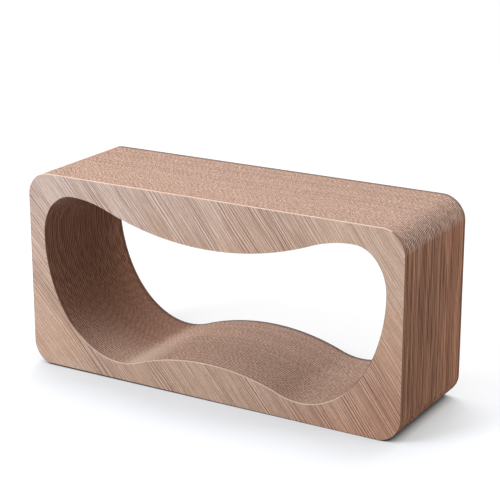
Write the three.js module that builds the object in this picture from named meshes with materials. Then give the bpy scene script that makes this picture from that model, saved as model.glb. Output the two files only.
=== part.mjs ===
// Cat scratcher sofa: die-cut rings of corrugated board, glued face to face into a free-standing stack with a
// flat lounging top, a tunnel right through it and a printed cover panel on the front and on the rear.
// Millimetres, +Z up. X runs along the length and Y from the front panel to the rear one. The origin is on the
// floor, under the middle of the stack.
import * as THREE from "three";

// Outside of every ring
const LENGTH = 600;
const HEIGHT = 294;
const CORNER_RADIUS = 35;

// Board left around the opening: at its ends, below it and above it
const END_WALL = 26;
const FLOOR_AT_TROUGHS = 28;
const FLOOR_AT_HUMP = 55;
const BEAM_AT_CROWNS = 29;
const BEAM_AT_MIDDLE = 72;

// Rounded corners of the opening: the shoulders at the top and the haunches that sweep down to the floor
const SHOULDER_REACH = 49;
const SHOULDER_DROP = 62;
const HAUNCH_REACH = 126;

// Part of each half wave that bends with its middle, before it bends back towards the crown or the trough
const HUMP_SHARE = 0.78;
const BEAM_SHARE = 0.73;

// Stack, from the front panel to the rear one
const SHEET_COUNT = 44;
const SHEET_THICKNESS = 4;
const PANEL_THICKNESS = 3.5;
const GLUE_LINE = 0.2;

// The most that a straight facet strays from a round edge
const FACET_ERROR = 0.6;

// Colours of bare board and of the printed wood grain
const BOARD_COLOUR = 0x8f6c55;
const PRINT_COLOUR = 0xbfa08c;

const QUARTER_TURN = Math.PI / 2;

// Where the opening is widest, and where its crowns and troughs lie
const sideX = LENGTH / 2 - END_WALL;
const crownX = sideX - SHOULDER_REACH;
const troughX = sideX - HAUNCH_REACH;
const crownZ = HEIGHT - BEAM_AT_CROWNS;
const widestZ = crownZ - SHOULDER_DROP;

// Points along an arc of an ellipse, close enough together to keep within the facet error.
function arcPoints(centreX, centreZ, radiusX, radiusZ, fromAngle, toAngle) {
  const step = 2 * Math.acos(1 - FACET_ERROR / Math.max(radiusX, radiusZ));
  const count = Math.ceil(Math.abs(toAngle - fromAngle) / step);
  const clockwise = toAngle < fromAngle;
  const arc = new THREE.EllipseCurve(centreX, centreZ, radiusX, radiusZ, fromAngle, toAngle, clockwise);
  return arc.getPoints(count);
}

// Joins runs of points whose ends meet, keeping each shared point once.
function joinRuns(...runs) {
  return runs.flatMap((run, i) => (i === 0 ? run : run.slice(1)));
}

// Half a wave: two arcs with one slope where they meet, level at x = 0 and level again at x = endX.
function halfWave(middleZ, endX, endZ, middleShare) {
  const turn = 2 * Math.atan(Math.abs(endZ - middleZ) / endX);
  const bothRadii = endX / Math.sin(turn);
  const middleRadius = bothRadii * middleShare;
  const endRadius = bothRadii - middleRadius;
  const way = Math.sign(endZ - middleZ);
  const middleCentreZ = middleZ + way * middleRadius;
  const endCentreZ = endZ - way * endRadius;
  const level = way * QUARTER_TURN;
  const bend = way * turn;
  const middleArc = arcPoints(0, middleCentreZ, middleRadius, middleRadius, -level, bend - level);
  const endArc = arcPoints(endX, endCentreZ, endRadius, endRadius, level + bend, level);
  return joinRuns(middleArc, endArc);
}

// The opening: its right half from the hump up to the middle of the beam, then the same mirrored.
function openingPoints() {
  const floor = halfWave(FLOOR_AT_HUMP, troughX, FLOOR_AT_TROUGHS, HUMP_SHARE);
  const haunchDrop = widestZ - FLOOR_AT_TROUGHS;
  const haunch = arcPoints(troughX, widestZ, HAUNCH_REACH, haunchDrop, -QUARTER_TURN, 0);
  const shoulder = arcPoints(crownX, widestZ, SHOULDER_REACH, SHOULDER_DROP, 0, QUARTER_TURN);
  const beam = halfWave(HEIGHT - BEAM_AT_MIDDLE, crownX, crownZ, BEAM_SHARE).reverse();
  const right = joinRuns(floor, haunch, shoulder, beam);
  const left = right.slice(1, -1).reverse();
  const mirrored = left.map((point) => new THREE.Vector2(-point.x, point.y));
  return [...right, ...mirrored];
}

// The outside: a rectangle standing on the floor, with its four corners rounded.
function outsidePoints() {
  const cornerX = LENGTH / 2 - CORNER_RADIUS;
  const lowZ = CORNER_RADIUS;
  const highZ = HEIGHT - CORNER_RADIUS;
  const corners = [
    [cornerX, lowZ],
    [cornerX, highZ],
    [-cornerX, highZ],
    [-cornerX, lowZ],
  ];
  return corners.flatMap(([x, z], i) => {
    const start = (i - 1) * QUARTER_TURN;
    return arcPoints(x, z, CORNER_RADIUS, CORNER_RADIUS, start, start + QUARTER_TURN);
  });
}

const ring = new THREE.Shape(outsidePoints());
ring.holes.push(new THREE.Path(openingPoints()));

// One ring of the stack, from its front face towards the rear.
function ringMesh(name, frontY, thickness, colour) {
  const geometry = new THREE.ExtrudeGeometry(ring, { depth: thickness, bevelEnabled: false });
  const material = new THREE.MeshStandardMaterial({ color: colour, roughness: 0.9, metalness: 0 });
  const mesh = new THREE.Mesh(geometry, material);
  mesh.name = name;
  mesh.rotation.x = QUARTER_TURN;
  mesh.position.y = frontY + thickness;
  return mesh;
}

const panelPitch = PANEL_THICKNESS + GLUE_LINE;
const sheetPitch = SHEET_THICKNESS + GLUE_LINE;
const coreDepth = SHEET_COUNT * sheetPitch - GLUE_LINE;
const frontSheetY = -coreDepth / 2;

const sofa = new THREE.Group();
sofa.add(ringMesh("front_cover_panel", frontSheetY - panelPitch, PANEL_THICKNESS, PRINT_COLOUR));
for (let i = 0; i < SHEET_COUNT; i++) {
  const name = "core_sheet_" + String(i + 1).padStart(2, "0");
  sofa.add(ringMesh(name, frontSheetY + i * sheetPitch, SHEET_THICKNESS, BOARD_COLOUR));
}
sofa.add(ringMesh("rear_cover_panel", coreDepth / 2 + GLUE_LINE, PANEL_THICKNESS, PRINT_COLOUR));

export default sofa;
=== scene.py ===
# Cat scratcher sofa: the looks of its fluted board rings and its printed cover panels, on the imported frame.
# Metres, +Z up. X runs along the length and Y from the front panel to the rear one.
import math
from dataclasses import dataclass, replace
from functools import reduce

import bpy
import numpy as np
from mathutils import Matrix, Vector


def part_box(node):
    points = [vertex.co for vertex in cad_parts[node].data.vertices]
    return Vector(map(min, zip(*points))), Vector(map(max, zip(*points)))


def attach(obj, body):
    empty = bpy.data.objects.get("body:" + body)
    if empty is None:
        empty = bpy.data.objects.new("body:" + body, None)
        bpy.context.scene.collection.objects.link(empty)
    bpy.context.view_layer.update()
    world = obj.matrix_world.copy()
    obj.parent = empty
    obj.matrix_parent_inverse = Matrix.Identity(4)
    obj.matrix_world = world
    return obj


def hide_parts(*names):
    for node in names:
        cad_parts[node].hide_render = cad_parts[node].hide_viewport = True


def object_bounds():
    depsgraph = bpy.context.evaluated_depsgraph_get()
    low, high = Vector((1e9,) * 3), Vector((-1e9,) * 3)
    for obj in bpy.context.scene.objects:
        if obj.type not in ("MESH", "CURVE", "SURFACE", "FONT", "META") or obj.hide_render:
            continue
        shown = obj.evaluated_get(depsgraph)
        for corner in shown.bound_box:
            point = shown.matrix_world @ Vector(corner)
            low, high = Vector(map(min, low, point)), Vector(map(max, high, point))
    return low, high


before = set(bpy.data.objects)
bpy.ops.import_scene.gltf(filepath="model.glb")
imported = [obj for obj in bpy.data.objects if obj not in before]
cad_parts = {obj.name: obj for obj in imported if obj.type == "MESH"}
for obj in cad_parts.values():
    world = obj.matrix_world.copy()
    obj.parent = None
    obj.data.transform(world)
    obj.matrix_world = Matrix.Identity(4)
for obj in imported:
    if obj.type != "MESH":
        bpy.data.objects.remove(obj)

CAD_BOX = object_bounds()
FRONT_Y = CAD_BOX[0].y
REAR_Y = CAD_BOX[1].y
HALF_LENGTH = CAD_BOX[1].x
HEIGHT = CAD_BOX[1].z
FULL_TURN = 2 * math.pi

# Outline of every ring, as the construction has it
CORNER_RADIUS = 0.035
END_WALL = 0.026
FLOOR_AT_TROUGHS = 0.028
FLOOR_AT_HUMP = 0.055
BEAM_AT_CROWNS = 0.029
BEAM_AT_MIDDLE = 0.072
SHOULDER_REACH = 0.049
SHOULDER_DROP = 0.062
HAUNCH_REACH = 0.126

# Part of each half wave that bends with its middle, before it bends back
HUMP_SHARE = 0.78
BEAM_SHARE = 0.73

# Where the opening is widest, and where its crowns and troughs lie
SIDE_X = HALF_LENGTH - END_WALL
CROWN_X = SIDE_X - SHOULDER_REACH
TROUGH_X = SIDE_X - HAUNCH_REACH
CROWN_Z = HEIGHT - BEAM_AT_CROWNS
WIDEST_Z = CROWN_Z - SHOULDER_DROP

# Levels at which the outline crosses an upright line, from the floor up, the way from each of them into the
# board, and the two bands of board that they bound
LEVELS = range(4)
UNDER, FLOOR, ROOF, TOP = LEVELS
INTO_BOARD = (1, -1, 1, -1)
BANDS = ((UNDER, FLOOR), (ROOF, TOP))

# Upright lines of the meshes: the closest step and the number of close lines where the outline turns upright,
# and how near two places are one
CLOSEST_STEP = 0.00006
CLOSE_LINES = 8
SAME_PLACE = 1e-7


# Outline of the rings
def half_wave(x, middle_z, end_x, end_z, middle_share):
    """Heights of a half wave of two arcs at the distances x from the middle, level at 0 and at end_x."""
    turn = 2 * math.atan(abs(end_z - middle_z) / end_x)
    both_radii = end_x / math.sin(turn)
    middle_radius = both_radii * middle_share
    end_radius = both_radii - middle_radius
    way = math.copysign(1, end_z - middle_z)
    meet_x = middle_radius * math.sin(turn)
    from_middle = np.minimum(x, meet_x)
    from_end = np.clip(end_x - x, 0, end_x - meet_x)
    near = middle_z + way * (middle_radius - np.sqrt(middle_radius**2 - from_middle**2))
    far = end_z - way * (end_radius - np.sqrt(end_radius**2 - from_end**2))
    return np.where(x < meet_x, near, far)


def quarter_round(x, start_x, reach):
    """Share of a quarter ellipse's height that is left at x: 1 up to start_x, and 0 from its reach on."""
    share = np.clip((x - start_x) / reach, 0, 1)
    return np.sqrt(1 - share**2)


def ring_levels(x, inset):
    """The four heights at which the outline, cut back by inset, crosses the upright lines x."""
    x = np.abs(x)
    corner = CORNER_RADIUS - inset
    corner_rise = corner * (1 - quarter_round(x, HALF_LENGTH - CORNER_RADIUS, corner))
    floor_wave = half_wave(x, FLOOR_AT_HUMP - inset, TROUGH_X, FLOOR_AT_TROUGHS - inset, HUMP_SHARE)
    haunch_drop = WIDEST_Z - FLOOR_AT_TROUGHS + inset
    haunch_shade_mask = WIDEST_Z - haunch_drop * quarter_round(x, TROUGH_X, HAUNCH_REACH + inset)
    middle_z = HEIGHT - BEAM_AT_MIDDLE + inset
    roof_wave = half_wave(x, middle_z, CROWN_X, CROWN_Z + inset, BEAM_SHARE)
    shoulder = WIDEST_Z + (SHOULDER_DROP + inset) * quarter_round(x, CROWN_X, SHOULDER_REACH + inset)
    under = inset + corner_rise
    floor = np.where(x < TROUGH_X, floor_wave, haunch_shade_mask)
    roof = np.where(x < CROWN_X, roof_wave, shoulder)
    top = HEIGHT - inset - corner_rise
    return np.array([under, floor, roof, top])


def upright_lines(step):
    """Places along the length, about a step apart and closer where the outline turns upright."""
    even = np.linspace(-HALF_LENGTH, HALF_LENGTH, round(2 * HALF_LENGTH / step) + 1)
    close = CLOSEST_STEP * np.arange(1, CLOSE_LINES + 1) ** 2
    turning = np.concatenate([[SIDE_X], SIDE_X - close, HALF_LENGTH - close])
    return np.unique(np.concatenate([even, turning, -turning]))


def shifted_lines(lines, inset):
    """The upright lines moved along so that they end and close at the cut-back outline."""
    size = np.abs(lines)
    inside = size * (SIDE_X + inset) / SIDE_X
    left_over = (HALF_LENGTH - size) / END_WALL
    outside = HALF_LENGTH - inset - left_over * (END_WALL - 2 * inset)
    return np.sign(lines) * np.where(size <= SIDE_X, inside, outside)


def across_flutes(edge, level, outside_power):
    """How squarely each step of an edge cuts the upright flutes: 1 where it lies level, 0 where it stands."""
    # The underside gets the brown of an upright edge, as painted shade under the bottom edges
    if level == UNDER:
        return np.zeros(len(edge) - 1)
    steps = np.diff(edge, axis=0)
    squareness = np.abs(steps[:, 0]) / np.hypot(steps[:, 0], steps[:, 2])
    return squareness**outside_power if level == TOP else squareness


# Map of a slab: its shelf holds the caps and, above them, a strip for the edges of each level and one for
# both ends
EDGE_STRIPS = len(LEVELS) + 1
ENDS_STRIP = len(LEVELS)

# Share of a strip's height that its quads fill, and each end's start and length along the ends' strip
STRIP_FILL = (0.1, 0.9)
END_STARTS = {0: 0.0, -1: 0.5}
END_FILL = 0.48


def between(ends, share):
    """The value at a share of the way from the first end to the second."""
    first, second = ends
    return first + (second - first) * share


def edge_strip(shelf, edges_from, number):
    """The low and high end of one of the strips for edges on a slab's shelf of the map."""
    first = between(shelf, edges_from)
    step = (shelf[1] - first) / EDGE_STRIPS
    return first + number * step, first + (number + 1) * step


def corner_stack(grid, order):
    """Quads between neighbouring lines of a grid of rows. Corners are given as (row, lines further on)."""
    lines = grid.shape[1]
    return np.stack([grid[row, step : lines - 1 + step] for row, step in order], axis=-1)


def new_object(name, data):
    """An object of this data, in the scene."""
    made = bpy.data.objects.new(name, data)
    bpy.context.scene.collection.objects.link(made)
    return made


# Meshes of rings
@dataclass
class Looks:
    """What the faces of a slab share, and the shares of its shelf of the map that they fill."""

    front_room: tuple
    back_room: tuple
    edges_from: float
    outside_power: float
    tone: float = 1.0
    cap_tone: float = 1.0
    front_material: int = 0
    back_material: int = 0
    edge_material: int = 0
    smooth_caps: bool = False
    smooth_edges: bool = False


class RingMesh:
    """Gathers the quads of ring-shaped slabs, each a closed solid, and makes one object of them."""

    def __init__(self):
        self.points = []
        self.quads = []
        self.maps = []
        self.face_values = []
        self.point_count = 0

    def add_quads(self, quads, across, up, cut, smooth, material, tone):
        """Adds quads, with the places of their corners on the map and the values that they share."""
        self.quads.append(quads)
        self.maps.append(np.stack([across, up], axis=-1))
        shared = np.tile([0.0, smooth, material, tone], (len(quads), 1))
        shared[:, 0] = cut
        self.face_values.append(shared)

    def add_slab(self, lines, layers, shelf, looks, rough=0.0, lift=0.0):
        """Adds a closed slab. layers are (y, inset) from the front, shelf is its (low, high) on the map."""
        grid = (len(layers), len(LEVELS), len(lines))
        index = np.arange(math.prod(grid)).reshape(grid)
        closed = np.abs(lines) > SIDE_X - SAME_PLACE
        index[:, ROOF, closed] = index[:, FLOOR, closed]
        points = np.empty((*grid, 3))
        for layer, (y, inset) in enumerate(layers):
            x = shifted_lines(lines, inset)
            points[layer, :, :, 0] = x
            points[layer, :, :, 1] = y
            points[layer, :, :, 2] = ring_levels(x, inset)
        points[..., 2] = np.maximum(points[..., 2], lift) + rough * np.where(closed, 0, 1)
        self.points.append(points.reshape(-1, 3))
        index += self.point_count
        self.point_count += index.size
        along = np.broadcast_to((lines + HALF_LENGTH) / (2 * HALF_LENGTH), grid)
        height = points[..., 2] / HEIGHT
        self.add_caps(index, along, height, shelf, looks)
        self.add_edges(index, points, along, closed, shelf, looks)
        self.add_ends(index, height, shelf, looks)

    def add_caps(self, index, along, height, shelf, looks):
        """Adds the front and the back of a slab."""
        front = (0, looks.front_room, looks.front_material)
        back = (-1, looks.back_room, looks.back_material)
        for layer, room, material in (front, back):
            up = between(shelf, between(room, height[layer]))
            for lower, upper in BANDS:
                order = [(lower, 0), (lower, 1), (upper, 1), (upper, 0)]
                if layer == -1:
                    order.reverse()
                self.add_quads(
                    corner_stack(index[layer], order),
                    corner_stack(along[layer], order),
                    corner_stack(up, order),
                    0, looks.smooth_caps, material, looks.cap_tone,
                )

    def add_edges(self, index, points, along, closed, shelf, looks):
        """Adds the cut edges of a slab along the four levels."""
        open_gap = ~(closed[:-1] & closed[1:])
        steps = len(index) - 1
        for level in LEVELS:
            strip = edge_strip(shelf, looks.edges_from, level)
            keep = open_gap if level in (FLOOR, ROOF) else np.full(len(open_gap), True)
            order = [(0, 0), (1, 0), (1, 1), (0, 1)]
            if level in (FLOOR, TOP):
                order = [(0, 0), (0, 1), (1, 1), (1, 0)]
            cut = across_flutes(points[0, level], level, looks.outside_power)
            for step in range(steps):
                pair = slice(step, step + 2)
                heights = between(strip, (step + np.array(STRIP_FILL)) / steps)
                up = np.broadcast_to(heights[:, None], index[pair, level].shape)
                self.add_quads(
                    corner_stack(index[pair, level], order)[keep],
                    corner_stack(along[pair, level], order)[keep],
                    corner_stack(up, order)[keep],
                    cut[keep], looks.smooth_edges, looks.edge_material, looks.tone,
                )

    def add_ends(self, index, height, shelf, looks):
        """Adds the faces that close a slab at its left and right end."""
        strip = edge_strip(shelf, looks.edges_from, ENDS_STRIP)
        steps = len(index) - 1
        for end, start in END_STARTS.items():
            for lower, upper in BANDS:
                for step in range(steps):
                    order = [(step, lower), (step, upper), (step + 1, upper), (step + 1, lower)]
                    if end == -1:
                        order.reverse()
                    quad = [index[layer, level, end] for layer, level in order]
                    across = [start + END_FILL * height[layer, level, end] for layer, level in order]
                    up = [between(strip, between(STRIP_FILL, layer / steps)) for layer, level in order]
                    self.add_quads(
                        np.array([quad]), np.array([across]), np.array([up]),
                        0, looks.smooth_edges, looks.edge_material, looks.tone,
                    )

    def make_object(self, name, materials):
        """The object of all the slabs, with its map and its face values, standing at the origin."""
        used, quads = np.unique(np.concatenate(self.quads), return_inverse=True)
        points = np.concatenate(self.points)[used]
        cut, smooth, material, tone = np.concatenate(self.face_values).T
        mesh = bpy.data.meshes.new(name)
        mesh.from_pydata(points, [], quads.reshape(-1, 4))
        mesh.polygons.foreach_set("use_smooth", smooth > 0)
        mesh.polygons.foreach_set("material_index", material.astype(np.int32))
        uv_map = mesh.uv_layers.new(name="OFBake")
        uv_map.uv.foreach_set("vector", np.concatenate(self.maps).astype(np.float32).ravel())
        for attribute_name, values in (("cut", cut), ("tone", tone)):
            attribute = mesh.attributes.new(attribute_name, "FLOAT", "FACE")
            attribute.data.foreach_set("value", values.astype(np.float32))
        for each in materials:
            mesh.materials.append(each)
        mesh.update()
        return new_object(name, mesh)


# Shader nodes

# A Mix node has sockets for each kind of data, and these are its places for the factor and for colours
MIX_FACTOR = 0
MIX_FIRST = 6
MIX_SECOND = 7
MIX_RESULT = 2


class Nodes:
    """Short ways to add nodes to one node tree. A value is a number, a tuple or another node's output."""

    def __init__(self, tree):
        self.tree = tree
        tree.nodes.clear()

    def add(self, kind, inputs=None, **settings):
        node = self.tree.nodes.new(kind)
        for name, value in settings.items():
            setattr(node, name, value)
        for name, value in (inputs or {}).items():
            self.put(node.inputs[name], value)
        return node

    def put(self, socket, value):
        if isinstance(value, bpy.types.NodeSocket):
            self.tree.links.new(value, socket)
        else:
            socket.default_value = value

    def object_place(self):
        return self.add("ShaderNodeTexCoord").outputs["Object"]

    def attribute(self, name):
        return self.add("ShaderNodeAttribute", attribute_name=name).outputs["Fac"]

    def split(self, vector):
        return self.add("ShaderNodeSeparateXYZ", {"Vector": vector}).outputs

    def place(self, x, y, z=0.0):
        return self.add("ShaderNodeCombineXYZ", {"X": x, "Y": y, "Z": z}).outputs[0]

    def math(self, operation, *values):
        node = self.add("ShaderNodeMath", operation=operation)
        for socket, value in zip(node.inputs, values):
            self.put(socket, value)
        return node.outputs[0]

    def product(self, *values):
        return reduce(lambda first, second: self.math("MULTIPLY", first, second), values)

    def largest(self, *values):
        return reduce(lambda first, second: self.math("MAXIMUM", first, second), values)

    def distance(self, first, second):
        node = self.add("ShaderNodeVectorMath", operation="DISTANCE")
        self.put(node.inputs[0], first)
        self.put(node.inputs[1], second)
        return node.outputs["Value"]

    def noise(self, place, detail, scale=1.0, dimensions="3D"):
        inputs = {"Vector": place, "Scale": scale, "Detail": detail}
        return self.add("ShaderNodeTexNoise", inputs, noise_dimensions=dimensions).outputs["Fac"]

    def spread(self, value, low, high, to_low=0.0, to_high=1.0, smooth=False):
        """Takes low to high over to to_low to to_high, and holds there outside."""
        inputs = {"Value": value, "From Min": low, "From Max": high, "To Min": to_low, "To Max": to_high}
        kind = "SMOOTHSTEP" if smooth else "LINEAR"
        return self.add("ShaderNodeMapRange", inputs, interpolation_type=kind).outputs["Result"]

    def blend(self, factor, first, second, way="MIX"):
        node = self.add("ShaderNodeMix", data_type="RGBA", blend_type=way)
        self.put(node.inputs[MIX_FACTOR], factor)
        self.put(node.inputs[MIX_FIRST], first)
        self.put(node.inputs[MIX_SECOND], second)
        return node.outputs[MIX_RESULT]

    def tint(self, factor, paint, tone):
        """Multiplies a paint by a tone, as far as the factor says."""
        return self.blend(factor, paint, tone, "MULTIPLY")

    def shade(self, factor, paint, share):
        """Multiplies a paint by a number, as far as the factor says."""
        return self.tint(factor, paint, self.place(share, share, share))

    def surface(self, **inputs):
        """A Principled shader on the material's output."""
        named = {name.replace("_", " "): value for name, value in inputs.items()}
        self.show(self.add("ShaderNodeBsdfPrincipled", named))

    def show(self, shader, kind="ShaderNodeOutputMaterial"):
        """Puts a shader on the output of the tree."""
        self.put(self.add(kind).inputs["Surface"], shader.outputs[0])


def new_material(name):
    """A material and its empty node tree."""
    material = bpy.data.materials.new(name)
    material.use_nodes = True
    return material, Nodes(material.node_tree)


def colour(red, green, blue):
    """A colour that covers fully."""
    return (red, green, blue, 1.0)


WHITE = colour(1, 1, 1)

# Printed wood grain of the cover panels

# Direction of the grain, how it fans out per mm, and the piece of grain that each panel shows, in mm
GRAIN_ANGLE = math.radians(-49)
GRAIN_FAN = 0.00025
FRONT_GRAIN = 433
REAR_GRAIN = 5000
MM_PER_METRE = 1000

# Colours of the print
PRINT_PALE = colour(0.572, 0.469, 0.419)
PRINT_WARM = colour(0.370, 0.258, 0.202)
PRINT_LINE = colour(0.140, 0.056, 0.029)
PRINT_LIGHT = colour(0.750, 0.655, 0.612)
TAN_TINT = colour(1.02, 1.0, 0.95)

# Streaks that are drawn out along the grain: length and width in mm, and detail of the noise
SWAY_STREAKS = (300, 160, 1)
WAVER_STREAKS = (40, 20, 1)
CROWDING_STREAKS = (260, 24, 1)
BROAD_STREAKS = (240, 30, 2)
TAN_STREAKS = (150, 40, 1)
BAND_STREAKS = (120, 4.5, 2)
FINE_STREAKS = (30, 0.9, 3)
PORE_STREAKS = (6, 0.9, 1)

# How far the lines sway and waver across the grain, in mm
SWAY = 12
WAVER = 0.8

# Sets of thin lines: spacing, width and length in mm, and the seed of their chances
STRONG_LINES = (9.0, 1.35, 110, 0.25)
MEDIUM_LINES = (4.2, 1.0, 60, 310.25)
FAINT_LINES = (2.4, 0.75, 36, 620.25)
BUNDLE_LINES = (5.2, 1.25, 140, 930.25)
FAINT_DARKNESS = 0.70
BUNDLE_DARKNESS = 0.85
BESIDE_STRONG = 0.85
BESIDE_MEDIUM = 0.65
BESIDE_FAINT = 0.4

# Shape of a line: the part of its spacing that its middle lies in, and the core and edge of the dark line and
# of the light lines at both sides of it, as shares of its width
LINE_ROOM_FROM = 0.15
LINE_ROOM = 0.5
DARK_CORE = 0.2
DARK_EDGE = 0.75
LIGHT_ASIDE = 1.3
LIGHT_CORE = 0.1
LIGHT_EDGE = 0.8

# How lines come and go: the step from one line's noise to the next, the detail of that noise, and the step
# to a line's second chance, which sets its strength
ROW_STEP = 3.7
ROW_DETAIL = 1
SECOND_CHANCE = 0.5

# Groups of lines: place across the grain and half width in mm, and core and edge as shares of the half width
LINE_GROUPS = ((-126, 18), (-40, 14), (36, 8), (76, 10), (112, 16), (150, 12), (200, 14), (252, 36))
GROUP_CORE = 0.6
GROUP_EDGE = 1.2

# Calmer corners: the place across the grain that they lie far from, in mm
CALM_MIDDLE = 85

# What values are spread to: low, high and, where these aren't 0 and 1, the shares that they get
PRESENCE_SPREAD = (0.34, 0.54)
STRENGTH_SPREAD = (0.0, 1.0, 0.35, 1.0)
CROWDING_SPREAD = (0.42, 0.58, 0.40, 0.80)
CALM_SPREAD = (215, 245, 1.0, 0.4)
BROAD_SPREAD = (0.35, 0.66, 0.0, 0.40)
TAN_SPREAD = (0.38, 0.62)
DARK_BAND_SPREAD = (0.48, 0.34, 0.0, 0.40)
LIGHT_BAND_SPREAD = (0.52, 0.68, 0.0, 0.40)
FINE_SPREAD = (0.36, 0.64, 0.0, 0.62)
PORE_SPREAD = (0.58, 0.74, 0.0, 0.32)
ROUGHNESS_SPREAD = (0.3, 0.7, 0.56, 0.70)

# Tints that grow down the panel, along a way that leans to the right, and then on along the grain, in mm
MIDDLE_TINT = colour(1.0, 0.865, 0.748)
DOWN_PER_X = 350
DOWN_PER_Z = -940
MIDDLE_SPREAD = (-400, -190)
LOW_TINT = colour(0.95, 0.79, 0.715)
LOW_SPREAD = (25, 170)

# Tan patches on the front: x, z and reach, and the core as a share of the reach
PATCH_TINT = colour(1.0, 0.965, 0.92)
TAN_PATCHES = ((-0.265, 0.030, 0.07), (0.285, 0.148, 0.07))
PATCH_CORE = 0.3

# Relief and gloss of the print
LINE_RELIEF = -0.6
BUMP_STRENGTH = 0.12
BUMP_DISTANCE = 0.0002
PRINT_SPECULAR = 0.32


class WoodGrain:
    """Places and patterns of a wood grain with lines that run down to the right, in mm."""

    def __init__(self, nodes, shift):
        self.nodes = nodes
        self.place = nodes.object_place()
        turn = {"Vector": self.place, "Angle": GRAIN_ANGLE}
        parts = nodes.split(nodes.add("ShaderNodeVectorRotate", turn, rotation_type="Y_AXIS").outputs[0])
        self.run = nodes.product(parts["X"], MM_PER_METRE)
        fan = nodes.math("MULTIPLY_ADD", self.run, GRAIN_FAN, 1.0)
        self.along = nodes.math("ADD", self.run, shift)
        self.across = nodes.math("MULTIPLY_ADD", nodes.product(parts["Z"], MM_PER_METRE), fan, shift)
        swaying = nodes.math("MULTIPLY_ADD", self.streaks(SWAY_STREAKS), SWAY, self.across)
        self.wavering = nodes.math("MULTIPLY_ADD", self.streaks(WAVER_STREAKS), WAVER, swaying)
        self.middle = shift + SWAY / 2

    def streaks(self, kind):
        """Noise that is drawn out along the grain."""
        length, width, detail = kind
        lengthwise = self.nodes.math("DIVIDE", self.along, length)
        crosswise = self.nodes.math("DIVIDE", self.across, width)
        return self.nodes.noise(self.nodes.place(lengthwise, crosswise), detail, dimensions="2D")

    def chance(self, number, seed):
        """A random value from 0 to 1 for each whole number."""
        inputs = {"W": self.nodes.math("ADD", number, seed)}
        return self.nodes.add("ShaderNodeTexWhiteNoise", inputs, noise_dimensions="1D").outputs["Value"]

    def distance_from(self, place):
        """Distance across the grain from a place that is measured from the middle of the part."""
        return self.nodes.math("ABSOLUTE", self.nodes.math("SUBTRACT", self.wavering, self.middle + place))

    def lines(self, kind):
        """Thin dark lines that come and go, and light lines beside them, from 0 to 1."""
        nodes = self.nodes
        spacing, width, length, seed = kind
        count = nodes.math("DIVIDE", self.wavering, spacing)
        number = nodes.math("FLOOR", count)
        middle = nodes.math("MULTIPLY_ADD", self.chance(number, seed), LINE_ROOM, LINE_ROOM_FROM)
        aside = nodes.product(nodes.math("SUBTRACT", nodes.math("FRACT", count), middle), spacing)
        from_dark = nodes.math("ABSOLUTE", aside)
        from_light = nodes.math("ABSOLUTE", nodes.math("SUBTRACT", from_dark, LIGHT_ASIDE * width))
        dark = nodes.spread(from_dark, DARK_CORE * width, DARK_EDGE * width, 1.0, 0.0, smooth=True)
        light = nodes.spread(from_light, LIGHT_CORE * width, LIGHT_EDGE * width, 1.0, 0.0, smooth=True)
        row = nodes.math("MULTIPLY_ADD", number, ROW_STEP, seed)
        row_place = nodes.place(nodes.math("DIVIDE", self.along, length), row)
        comes_and_goes = nodes.noise(row_place, ROW_DETAIL, dimensions="2D")
        there = nodes.spread(comes_and_goes, *PRESENCE_SPREAD, smooth=True)
        strength = nodes.spread(self.chance(number, seed + SECOND_CHANCE), *STRENGTH_SPREAD)
        presence = nodes.product(there, strength)
        return nodes.product(dark, presence), nodes.product(light, presence)

    def groups(self):
        """1 in the groups of lines, and 0 away from them."""
        shares = []
        for place, half_width in LINE_GROUPS:
            core = GROUP_CORE * half_width
            edge = GROUP_EDGE * half_width
            shares.append(self.nodes.spread(self.distance_from(place), core, edge, 1.0, 0.0, smooth=True))
        return self.nodes.largest(*shares)


def grain_lines(grain):
    """All the dark lines of the grain and the light lines beside them, from 0 to 1."""
    nodes = grain.nodes
    groups = grain.groups()
    loose = nodes.spread(grain.streaks(CROWDING_STREAKS), *CROWDING_SPREAD, smooth=True)
    crowding = nodes.largest(loose, groups)
    strong, beside_strong = grain.lines(STRONG_LINES)
    medium, beside_medium = grain.lines(MEDIUM_LINES)
    faint, beside_faint = grain.lines(FAINT_LINES)
    bundle = grain.lines(BUNDLE_LINES)[0]
    dark = nodes.largest(
        nodes.product(nodes.largest(strong, medium), crowding),
        nodes.product(faint, FAINT_DARKNESS),
        nodes.product(bundle, groups, BUNDLE_DARKNESS),
    )
    light = nodes.largest(
        nodes.product(beside_strong, BESIDE_STRONG),
        nodes.product(beside_medium, BESIDE_MEDIUM),
        nodes.product(beside_faint, BESIDE_FAINT),
    )
    calm = nodes.spread(grain.distance_from(CALM_MIDDLE), *CALM_SPREAD)
    return nodes.product(dark, calm), light


def grain_paint(grain, fine, dark_lines, light_lines):
    """The colours of the grain, from its broad streaks to its lines and pores."""
    nodes = grain.nodes
    bands = grain.streaks(BAND_STREAKS)
    pores = nodes.spread(grain.streaks(PORE_STREAKS), *PORE_SPREAD)
    broad = nodes.spread(grain.streaks(BROAD_STREAKS), *BROAD_SPREAD)
    tan = nodes.spread(grain.streaks(TAN_STREAKS), *TAN_SPREAD)
    paint = nodes.tint(tan, nodes.blend(broad, PRINT_PALE, PRINT_WARM), TAN_TINT)
    paint = nodes.blend(nodes.spread(bands, *DARK_BAND_SPREAD), paint, PRINT_WARM)
    paint = nodes.blend(nodes.spread(bands, *LIGHT_BAND_SPREAD), paint, PRINT_LIGHT)
    paint = nodes.blend(nodes.spread(fine, *FINE_SPREAD), paint, PRINT_WARM)
    paint = nodes.blend(light_lines, paint, PRINT_LIGHT)
    paint = nodes.blend(dark_lines, paint, PRINT_LINE)
    return nodes.blend(pores, paint, PRINT_LINE)


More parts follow.
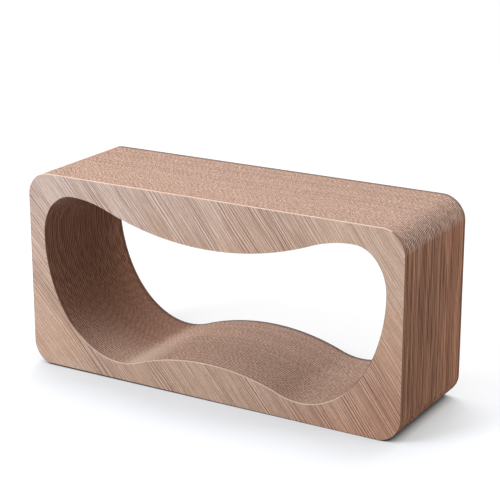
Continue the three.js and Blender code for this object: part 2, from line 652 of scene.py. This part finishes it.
def panel_tints(grain, paint):
    """A paint with the tints that change over the panel."""
    nodes = grain.nodes
    parts = nodes.split(grain.place)
    down = nodes.math("MULTIPLY_ADD", parts["X"], DOWN_PER_X, nodes.product(parts["Z"], DOWN_PER_Z))
    paint = nodes.tint(nodes.spread(down, *MIDDLE_SPREAD), paint, MIDDLE_TINT)
    paint = nodes.tint(nodes.spread(grain.run, *LOW_SPREAD, smooth=True), paint, LOW_TINT)
    for x, z, reach in TAN_PATCHES:
        from_patch = nodes.distance(grain.place, (x, FRONT_Y, z))
        patch = nodes.spread(from_patch, PATCH_CORE * reach, reach, 1.0, 0.0, smooth=True)
        paint = nodes.tint(patch, paint, PATCH_TINT)
    return paint


def print_material(name, shift):
    """Printed wood grain. shift is the piece of grain that is shown, in mm."""
    material, nodes = new_material(name)
    grain = WoodGrain(nodes, shift)
    dark_lines, light_lines = grain_lines(grain)
    fine = grain.streaks(FINE_STREAKS)
    relief = nodes.math("MULTIPLY_ADD", dark_lines, LINE_RELIEF, fine)
    bump_inputs = {"Height": relief, "Strength": BUMP_STRENGTH, "Distance": BUMP_DISTANCE}
    nodes.surface(
        Base_Color=panel_tints(grain, grain_paint(grain, fine, dark_lines, light_lines)),
        Roughness=nodes.spread(fine, *ROUGHNESS_SPREAD),
        Specular_IOR_Level=PRINT_SPECULAR,
        Normal=nodes.add("ShaderNodeBump", bump_inputs).outputs[0],
    )
    return material


# Bare board

# Mottles of the paper: cells per metre along x, y and z, and detail of the noise
FIBRE_MOTTLE = ((900, 900, 320), 3)
SPECKLE_MOTTLE = ((400, 420, 90), 2)
STREAK_MOTTLE = ((420, 560, 11), 1)
SEAM_MOTTLE = ((240, 260, 7), 1)
FIBRE_SPREAD = (0.3, 0.7, 0.90, 1.08)
SPECKLE_SPREAD = (0.38, 0.62)
STREAK_SPREAD = (0.40, 0.60)
SEAM_SPREAD = (0.60, 0.68)

# Paper that isn't cut across the flutes: the opening's walls, and the ends with upright streaks and seams
INNER_PALE = colour(0.520, 0.268, 0.166)
INNER_DARK = colour(0.333, 0.158, 0.092)
WALL = colour(0.415, 0.208, 0.142)
WALL_STREAKS = 0.60
SEAM = colour(0.17, 0.078, 0.045)
WALL_SEAMS = 0.25
END_SEAMS = 0.85

# Shades of the ends in front and at the rear, and the y values between which they change
END_FRONT_SHADE = 0.93
END_REAR_SHADE = 1.22
END_CHANGE = (0.0, 0.045)

# Paper that is cut across the flutes, and how squarely a cut has to lie to look cut
CUT_PALE = colour(0.755, 0.586, 0.497)
CUT_DARK = colour(0.570, 0.412, 0.330)
CUT_SPREAD = (0.50, 1.0)

# Floor of the opening: the height that it lies below, and its painted light in front and painted shade at the
# rear
TUNNEL_FLOOR_BELOW = 0.2
TUNNEL_FRONT_PAINTED_LIGHT = 1.15
TUNNEL_REAR_PAINTED_SHADE = 0.85

# Painted shade on the left haunch, which turns away from the light: where it starts and fades, its shares in
# front and at the rear, and the part of the depth over which they change
HAUNCH_SHADE = colour(0.256, 0.155, 0.119)
HAUNCH_FROM = -0.138
HAUNCH_FADE = 0.020
HAUNCH_FRONT_SHARE = 0.12
HAUNCH_REAR_SHARE = 0.95
HAUNCH_CHANGE = (0.15, 0.55)

# Painted highlight, a pale band in the left trough: its middle, its core's half width, its fades and the
# heights that it is on
TROUGH_HIGHLIGHT = colour(0.605, 0.455, 0.373)
TROUGH_HIGHLIGHT_X = -0.128
TROUGH_HIGHLIGHT_CORE = 0.003
TROUGH_HIGHLIGHT_FADE_LEFT = 0.020
TROUGH_HIGHLIGHT_FADE_RIGHT = 0.054
TROUGH_HIGHLIGHT_Z = 0.029
TROUGH_HIGHLIGHT_REACH = 0.016

# How far the painted shade on the haunch and the painted highlight shift to the right from the front to the
# rear
BAND_LEAN = 0.010

# Gloss of bare board
BOARD_ROUGHNESS = 0.88
BOARD_SPECULAR = 0.18


class BoardPlace:
    """Places in the stack that the paints of its board go by."""

    def __init__(self, nodes):
        self.nodes = nodes
        self.place = nodes.object_place()
        self.parts = nodes.split(self.place)
        self.to_rear = nodes.spread(self.parts["Y"], FRONT_Y, REAR_Y)
        self.leaning_x = nodes.math("MULTIPLY_ADD", self.to_rear, -BAND_LEAN, self.parts["X"])
        self.on_tunnel_floor = nodes.math("LESS_THAN", self.parts["Z"], TUNNEL_FLOOR_BELOW)

    def mottle(self, scale, detail):
        """Noise with its own scale along each axis."""
        scaled = self.nodes.add("ShaderNodeMapping", {"Vector": self.place, "Scale": scale}).outputs[0]
        return self.nodes.noise(scaled, detail)


def inner_paper(board):
    """Paper of the walls and the ends."""
    nodes = board.nodes
    to_end = nodes.spread(nodes.math("ABSOLUTE", board.parts["X"]), SIDE_X, HALF_LENGTH)
    streaks = nodes.spread(board.mottle(*STREAK_MOTTLE), *STREAK_SPREAD)
    streaked = nodes.blend(streaks, INNER_PALE, INNER_DARK)
    plain = nodes.blend(nodes.spread(to_end, 0.0, 1.0, WALL_STREAKS, 1.0), WALL, streaked)
    seams = nodes.spread(board.mottle(*SEAM_MOTTLE), *SEAM_SPREAD)
    seam_share = nodes.spread(to_end, 0.0, 1.0, WALL_SEAMS, END_SEAMS)
    seamed = nodes.blend(nodes.product(seams, seam_share), plain, SEAM)
    end_shade = nodes.spread(board.parts["Y"], *END_CHANGE, END_FRONT_SHADE, END_REAR_SHADE)
    return nodes.shade(to_end, seamed, end_shade)


def cut_paper(board):
    """Speckled paper that is cut across the flutes, with painted light and shade on the opening's floor and
    painted shade on its left haunch.
    """
    nodes = board.nodes
    speckle = nodes.spread(board.mottle(*SPECKLE_MOTTLE), *SPECKLE_SPREAD)
    speckled = nodes.blend(speckle, CUT_PALE, CUT_DARK)
    # Painted light in front and painted shade at the rear of the opening's floor
    painted_floor_light = nodes.spread(board.to_rear, 0.0, 1.0, TUNNEL_FRONT_PAINTED_LIGHT, TUNNEL_REAR_PAINTED_SHADE)
    shaded = nodes.shade(board.on_tunnel_floor, speckled, painted_floor_light)
    # Painted shade on the left haunch, stronger towards the rear
    haunch_shade_mask = nodes.spread(board.leaning_x, HAUNCH_FROM - HAUNCH_FADE, HAUNCH_FROM, 1.0, 0.0)
    haunch_share = nodes.spread(board.to_rear, *HAUNCH_CHANGE, HAUNCH_FRONT_SHARE, HAUNCH_REAR_SHARE)
    return nodes.blend(nodes.product(haunch_shade_mask, haunch_share, board.on_tunnel_floor), shaded, HAUNCH_SHADE)


def trough_highlight(board):
    """1 in the middle of the painted highlight at the front, fading out to its sides and to the rear."""
    nodes = board.nodes
    aside = nodes.math("SUBTRACT", board.leaning_x, TROUGH_HIGHLIGHT_X)
    left_end = -TROUGH_HIGHLIGHT_CORE - TROUGH_HIGHLIGHT_FADE_LEFT
    right_end = TROUGH_HIGHLIGHT_CORE + TROUGH_HIGHLIGHT_FADE_RIGHT
    left = nodes.spread(aside, left_end, -TROUGH_HIGHLIGHT_CORE, smooth=True)
    right = nodes.spread(aside, TROUGH_HIGHLIGHT_CORE, right_end, 1.0, 0.0, smooth=True)
    low_down = nodes.math("COMPARE", board.parts["Z"], TROUGH_HIGHLIGHT_Z, TROUGH_HIGHLIGHT_REACH)
    to_front = nodes.math("SUBTRACT", 1.0, board.to_rear)
    return nodes.product(left, right, low_down, to_front)


def board_material():
    """Kraft paper of the fluted sheets: brown, and paler and speckled where the flutes are cut through, with
    painted light and shade in the opening and a painted highlight in its left trough.
    """
    material, nodes = new_material("fluted_kraft_board")
    board = BoardPlace(nodes)
    cut = nodes.spread(nodes.attribute("cut"), *CUT_SPREAD)
    fluted = nodes.blend(cut, inner_paper(board), cut_paper(board))
    # A pale band in the left trough, painted highlight
    highlight = trough_highlight(board)
    paper = nodes.blend(highlight, fluted, TROUGH_HIGHLIGHT)
    tone = nodes.attribute("tone")
    # In the painted highlight the darker tones of the flutes' insides are painted lighter too
    tone_in_highlight = nodes.math("MULTIPLY_ADD", nodes.math("SUBTRACT", 1.0, tone), highlight, tone)
    fibres = nodes.spread(board.mottle(*FIBRE_MOTTLE), *FIBRE_SPREAD)
    nodes.surface(
        Base_Color=nodes.shade(1.0, paper, nodes.product(tone_in_highlight, fibres)),
        Roughness=BOARD_ROUGHNESS,
        Specular_IOR_Level=BOARD_SPECULAR,
    )
    return material


# Cut edges of the cover panels. On the front panel a level edge gets a pale rim, partly the paper's pale edge
# and partly painted highlight, and an upright edge gets a brown that is painted shade
RIM_PALE = colour(0.70, 0.54, 0.45)
RIM_PALE_PLY = colour(0.55, 0.41, 0.33)
RIM_DARK = colour(0.10, 0.07, 0.06)
RIM_DARK_PLY = colour(0.05, 0.036, 0.03)
UPRIGHT_EDGE = colour(0.240, 0.130, 0.082)
EDGE_BEHIND = colour(0.46, 0.315, 0.24)

# Depth of the rim behind the printed face, and of its fade
RIM_DEPTH = 0.0013
RIM_FADE = 0.0007

# Plies and fuzz of the rim: cells per metre, detail of the noise and share of each
PLY_SCALE = (30, 1700, 30)
PLY_DETAIL = 2
PLY_SHARE = 0.6
FUZZ_SCALE = 700
FUZZ_DETAIL = 3
FUZZ_SHARE = 0.4
RIM_SPREAD = (0.35, 0.65)

# How level an edge has to lie to show its rim, and the gloss of the edges
LEVEL_SPREAD = (0.62, 0.78)
EDGE_ROUGHNESS = 0.9
EDGE_SPECULAR = 0.02


def cut_edge_material(name, pale, dark, upright, behind, face_y):
    """Cut edge of a panel: a narrow rim of plies at the face, a plain part behind it, brown where upright."""
    material, nodes = new_material(name)
    place = nodes.object_place()
    ply_place = nodes.add("ShaderNodeMapping", {"Vector": place, "Scale": PLY_SCALE}).outputs[0]
    plies = nodes.noise(ply_place, PLY_DETAIL)
    fuzz = nodes.noise(place, FUZZ_DETAIL, FUZZ_SCALE)
    mixed = nodes.math("ADD", nodes.product(plies, PLY_SHARE), nodes.product(fuzz, FUZZ_SHARE))
    rim = nodes.blend(nodes.spread(mixed, *RIM_SPREAD), pale, dark)
    depth = nodes.math("ABSOLUTE", nodes.math("SUBTRACT", nodes.split(place)["Y"], face_y))
    level = nodes.blend(nodes.spread(depth, RIM_DEPTH, RIM_DEPTH + RIM_FADE), rim, behind)
    nodes.surface(
        # Level edges show the rim and upright ones the upright brown; on the front panel this is painted
        # light and painted shade
        Base_Color=nodes.blend(nodes.spread(nodes.attribute("cut"), *LEVEL_SPREAD), upright, level),
        Roughness=EDGE_ROUGHNESS,
        Specular_IOR_Level=EDGE_SPECULAR,
    )
    return material


# Core sheets

# Fluted board: two liners and a wavy middle, with upright flutes
LINER = 0.00055
MEDIUM = 0.00045
FLUTE_PITCH = 0.0078
PITCH_CHANGE = 0.03
LINES_PER_FLUTE = 8
LINER_LINE_STEP = 0.0026

# How far the liners reach into the glue lines, and how far the waves are pressed into the liners
GLUE_REACH = 0.00009
WAVE_INTO_LINER = 0.00003

# Slow waves by which flutes wander along a sheet: their number, swing in radians and radians per metre
WANDER_WAVES = 3
WANDER_SWING = (0.2, 0.7)
WANDER_RATE = (8, 26)

# Rough cuts at each line, uneven cuts of whole sheets, and the seed of the random draws
CUT_ROUGHNESS = 0.00022
CUT_UNEVENNESS = 0.00030
SHEET_SEED = 4100

# Tones: how much sheets differ, their insides, which are the paper's darker brown and partly painted shade in
# the flutes, their wavy middles, and the sheet at the rear panel
TONE_DEVIATION = 0.045
INSIDE_TONE_AND_SHADE = 0.68
MEDIUM_TONE = 0.94
LAST_SHEET_TONE = 0.78

# A power under 1 makes the rounded top corners look cut nearly down to where they stand upright
SHEET_OUTSIDE_POWER = 0.18

# Shelves of a sheet's map, and the shares of a shelf that caps fill and that edges start from
FRONT_SHELF = (0.0, 0.33)
BACK_SHELF = (0.33, 0.66)
MIDDLE_SHELF = (0.66, 0.99)
SHEET_CAP_ROOM = (0.0, 0.5)
SHEET_EDGES_FROM = 0.52


def waved_middle(lines, middle_y, half_room, draws):
    """Front and back of the wavy middle paper along the upright lines, as y values."""
    wander = 0
    for _ in range(WANDER_WAVES):
        swing = draws.uniform(*WANDER_SWING)
        rate = draws.uniform(*WANDER_RATE)
        wander = wander + swing * np.sin(lines * rate + draws.uniform(0, FULL_TURN))
    pitch = FLUTE_PITCH * (1 + draws.uniform(-PITCH_CHANGE, PITCH_CHANGE))
    turn = FULL_TURN * lines / pitch + wander + draws.uniform(0, FULL_TURN)
    height = half_room - MEDIUM / 2 + WAVE_INTO_LINER
    slope = height * FULL_TURN / pitch * np.cos(turn)
    half_thickness = MEDIUM / 2 * np.sqrt(1 + slope**2)
    wave = middle_y + height * np.sin(turn)
    return wave - half_thickness, wave + half_thickness


def rough_cut(lines, draws):
    """Small random cuts into the board at each level of each line."""
    depth = draws.uniform(0, CUT_ROUGHNESS, (len(LEVELS), len(lines)))
    return depth * np.array(INTO_BOARD)[:, None]


def core_sheet(node, number, is_last, material):
    """One fluted sheet, in the place of its node."""
    low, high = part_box(node)
    draws = np.random.default_rng(SHEET_SEED + number)
    tone = LAST_SHEET_TONE if is_last else draws.normal(1.0, TONE_DEVIATION)
    inset = draws.uniform(0, CUT_UNEVENNESS)
    looks = Looks(
        front_room=SHEET_CAP_ROOM,
        back_room=SHEET_CAP_ROOM,
        edges_from=SHEET_EDGES_FROM,
        outside_power=SHEET_OUTSIDE_POWER,
        tone=tone,
        # The faces inside the flutes are darker, partly the paper's brown and partly painted shade
        cap_tone=tone * INSIDE_TONE_AND_SHADE,
    )
    ring = RingMesh()
    liner_lines = upright_lines(LINER_LINE_STEP)
    front_liner = [(low.y - GLUE_REACH, inset), (low.y + LINER, inset)]
    ring.add_slab(liner_lines, front_liner, FRONT_SHELF, looks, rough_cut(liner_lines, draws))
    back_liner = [(high.y - LINER, inset), (high.y + GLUE_REACH, inset)]
    ring.add_slab(liner_lines, back_liner, BACK_SHELF, looks, rough_cut(liner_lines, draws))
    wave_lines = upright_lines(FLUTE_PITCH / LINES_PER_FLUTE)
    half_room = (high.y - low.y) / 2 - LINER
    front, back = waved_middle(wave_lines, (low.y + high.y) / 2, half_room, draws)
    middle = [(front, inset), (back, inset)]
    middle_looks = replace(looks, smooth_caps=True, tone=tone * MEDIUM_TONE)
    ring.add_slab(wave_lines, middle, MIDDLE_SHELF, middle_looks, rough_cut(wave_lines, draws))
    sheet = ring.make_object("fluted_" + node.removeprefix("core_"), [material])
    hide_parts(node)
    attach(sheet, "root")


# Cover panels
PANEL_LINE_STEP = 0.004
PANEL_EDGE_ROUND = 0.0009
PANEL_BACK_ROUND = 0.0002

# How far the bottom edges lie off the floor at the left and at the right end
PANEL_LIFT_LEFT = 0.0030
PANEL_LIFT_RIGHT = 0.0004

# A power over 1 makes the rim end early on the rounded top corners
PANEL_OUTSIDE_POWER = 3.0

# Materials of a panel, and the shares of its map that its faces fill and that its edges start from
PRINTED, BARE = range(2)
WHOLE_MAP = (0.0, 1.0)
PRINT_ROOM = (0.0, 0.62)
BACK_ROOM = (0.64, 0.84)
PANEL_EDGES_FROM = 0.86


def cover_panel(node, name, print_in_front, printed, edge):
    """One cover panel, with softly rounded edges on its printed face."""
    low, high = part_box(node)
    depth = high.y - low.y
    # Halfway round its edge, a rounding lies this far in from both faces
    round_in = PANEL_EDGE_ROUND * (1 - math.sqrt(0.5))
    rounded = [(0.0, PANEL_EDGE_ROUND), (round_in, round_in), (PANEL_EDGE_ROUND, 0.0)]
    squarer = [(depth - PANEL_BACK_ROUND, 0.0), (depth, PANEL_BACK_ROUND)]
    layers = rounded + squarer
    looks = Looks(
        front_room=PRINT_ROOM,
        back_room=BACK_ROOM,
        edges_from=PANEL_EDGES_FROM,
        outside_power=PANEL_OUTSIDE_POWER,
        front_material=PRINTED,
        back_material=BARE,
        edge_material=BARE,
        smooth_edges=True,
    )
    if print_in_front:
        layers = [(low.y + y, inset) for y, inset in layers]
    else:
        layers = [(high.y - y, inset) for y, inset in reversed(layers)]
        looks.front_room, looks.back_room = looks.back_room, looks.front_room
        looks.front_material, looks.back_material = looks.back_material, looks.front_material
    ring = RingMesh()
    lines = upright_lines(PANEL_LINE_STEP)
    lift = np.interp(lines, (-HALF_LENGTH, HALF_LENGTH), (PANEL_LIFT_LEFT, PANEL_LIFT_RIGHT))
    ring.add_slab(lines, layers, WHOLE_MAP, looks, lift=lift)
    panel = ring.make_object(name, [printed, edge])
    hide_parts(node)
    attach(panel, "root")


# Studio

# Camera that the photograph was taken with
CAMERA_AZIMUTH = math.radians(30.414)
CAMERA_ELEVATION = math.radians(17.487)
CAMERA_TARGET = Vector((0.0147, 0.0, 0.1983))
CAMERA_DISTANCE = 2.2687
CAMERA_LENS = 115.49
CAMERA_SENSOR = 36.0

# Floor: its size, its paint in front and behind, the y values between which the paint changes, and the glow
# that the camera sees
FLOOR_SIZE = 16.0
FLOOR_COLOUR = colour(0.388, 0.415, 0.468)
FLOOR_BEHIND = colour(0.405, 0.412, 0.445)
BEHIND_CHANGE = (0.0, 0.25)
FLOOR_GLOW = 0.580
GLOW_COLOUR = colour(1.0, 0.978, 0.92)

# Painted shadow on the floor near the part: how far off the part still darkens it, and what openness does to
# paint and glow
CONTACT_REACH = 0.44
CONTACT_SPREAD = (0.20, 0.45, 0.25, 1.0)
SHADE_SPREAD = (0.20, 1.0)
SHADE_POWER = 0.50

# Light from all round, and how much more of it comes from the left
AMBIENT = 0.44
LEFT_LEAN = 0.20

# Lamps
SKYLIGHT_STRENGTH = 1.96
SKYLIGHT_ANGLE = math.radians(36)
SKYLIGHT_FROM = Vector((-0.13, 0.37, 0.92))
FRONT_LAMP_POWER = 39.5
FRONT_LAMP_SIZE = 1.0
FRONT_LAMP_FROM = Vector((-0.88, -1.52, 1.48))
FRONT_LAMP_TARGET = Vector((-HALF_LENGTH, 0, HEIGHT / 2))
FILL_LAMP_POWER = 15.6
FILL_LAMP_SIZE = 1.0
FILL_LAMP_FROM = Vector((2.1, 0.2, 0.8))
FILL_LAMP_TARGET = Vector((HALF_LENGTH, 0, HEIGHT / 2))


def seen_directly(nodes):
    """1 for what the camera sees, straight or by a mirror or a lens, and 0 for light on other things."""
    path = nodes.add("ShaderNodeLightPath").outputs
    return nodes.largest(path["Is Camera Ray"], path["Is Glossy Ray"], path["Is Transmission Ray"])


def floor_material():
    """Matte paint and a glow that makes it look white to the camera, both darkened near the part as painted
    shadow.
    """
    material, nodes = new_material("studio_floor")
    openness = nodes.add("ShaderNodeAmbientOcclusion", {"Distance": CONTACT_REACH}).outputs["AO"]
    behind = nodes.spread(nodes.split(nodes.object_place())["Y"], *BEHIND_CHANGE)
    plain = nodes.blend(behind, FLOOR_COLOUR, FLOOR_BEHIND)
    # Painted shadow near the part, on both the paint and the glow
    paint = nodes.shade(1.0, plain, nodes.spread(openness, *CONTACT_SPREAD))
    matte = nodes.add("ShaderNodeBsdfDiffuse", {"Color": paint})
    shade = nodes.math("POWER", nodes.spread(openness, *SHADE_SPREAD), SHADE_POWER)
    strength = nodes.product(seen_directly(nodes), shade, FLOOR_GLOW)
    glow = nodes.add("ShaderNodeEmission", {"Color": GLOW_COLOUR, "Strength": strength})
    both = nodes.add("ShaderNodeAddShader")
    nodes.put(both.inputs[0], matte.outputs[0])
    nodes.put(both.inputs[1], glow.outputs[0])
    nodes.show(both)
    return material


def make_floor():
    """A wide floor that keeps the shadow."""
    half = FLOOR_SIZE / 2
    corners = [(-half, -half, 0), (half, -half, 0), (half, half, 0), (-half, half, 0)]
    mesh = bpy.data.meshes.new("studio_floor")
    mesh.from_pydata(corners, [], [(0, 1, 2, 3)])
    mesh.materials.append(floor_material())
    floor = new_object("studio_floor", mesh)


def make_world():
    """Soft light from all round, more from the left, and white where the camera looks past the floor."""
    world = bpy.data.worlds.new("studio_world")
    world.use_nodes = True
    bpy.context.scene.world = world
    nodes = Nodes(world.node_tree)
    direction = nodes.add("ShaderNodeTexCoord").outputs["Generated"]
    leaning = nodes.math("MULTIPLY_ADD", nodes.split(direction)["X"], -LEFT_LEAN, AMBIENT)
    light = nodes.add("ShaderNodeBackground", {"Color": WHITE, "Strength": leaning})
    white = nodes.add("ShaderNodeBackground", {"Color": WHITE, "Strength": 1.0})
    mix = nodes.add("ShaderNodeMixShader", {"Fac": seen_directly(nodes)})
    nodes.put(mix.inputs[1], light.outputs[0])
    nodes.put(mix.inputs[2], white.outputs[0])
    nodes.show(mix, "ShaderNodeOutputWorld")


def aim(thing, direction):
    """Turns a lamp or a camera to look in a direction."""
    thing.rotation_mode = "QUATERNION"
    thing.rotation_quaternion = direction.to_track_quat("-Z", "Y")


def add_lamp(name, kind, energy, towards):
    """A lamp that shines in a direction."""
    data = bpy.data.lights.new(name, kind)
    data.energy = energy
    lamp = new_object(name, data)
    aim(lamp, towards)
    return lamp


def add_soft_lamp(name, power, size, stand, target):
    """A square lamp that stands somewhere and shines on a target."""
    lamp = add_lamp(name, "AREA", power, target - stand)
    lamp.location = stand
    lamp.data.size = size


def make_lamps():
    """A broad light from above and behind, a soft lamp at the front left and a weak one at the right."""
    skylight = add_lamp("skylight", "SUN", SKYLIGHT_STRENGTH, -SKYLIGHT_FROM)
    skylight.data.angle = SKYLIGHT_ANGLE
    add_soft_lamp("front_lamp", FRONT_LAMP_POWER, FRONT_LAMP_SIZE, FRONT_LAMP_FROM, FRONT_LAMP_TARGET)
    add_soft_lamp("fill_lamp", FILL_LAMP_POWER, FILL_LAMP_SIZE, FILL_LAMP_FROM, FILL_LAMP_TARGET)


def make_camera():
    """The scene's camera, which looks at its target from its distance."""
    data = bpy.data.cameras.new("photo_camera")
    data.lens = CAMERA_LENS
    data.sensor_width = CAMERA_SENSOR
    camera = new_object("photo_camera", data)
    level = math.cos(CAMERA_ELEVATION)
    towards = Vector((
        -math.sin(CAMERA_AZIMUTH) * level,
        math.cos(CAMERA_AZIMUTH) * level,
        -math.sin(CAMERA_ELEVATION),
    ))
    camera.location = CAMERA_TARGET - towards * CAMERA_DISTANCE
    aim(camera, towards)
    bpy.context.scene.camera = camera


make_camera()
make_world()
make_lamps()
make_floor()

front_print = print_material("wood_grain_front", FRONT_GRAIN)
rear_print = print_material("wood_grain_rear", REAR_GRAIN)
pale_edge = cut_edge_material("pale_cut_edge", RIM_PALE, RIM_PALE_PLY, UPRIGHT_EDGE, EDGE_BEHIND, FRONT_Y)
dark_edge = cut_edge_material("dark_cut_edge", RIM_DARK, RIM_DARK_PLY, UPRIGHT_EDGE, RIM_DARK, REAR_Y)
cover_panel("front_cover_panel", "front_panel_printed", True, front_print, pale_edge)
cover_panel("rear_cover_panel", "rear_panel_printed", False, rear_print, dark_edge)

board = board_material()
sheet_nodes = sorted(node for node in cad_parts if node.startswith("core_sheet_"))
for sheet_number, sheet_node in enumerate(sheet_nodes):
    core_sheet(sheet_node, sheet_number, sheet_node == sheet_nodes[-1], board)

bpy.context.scene.view_settings.view_transform = "Standard"
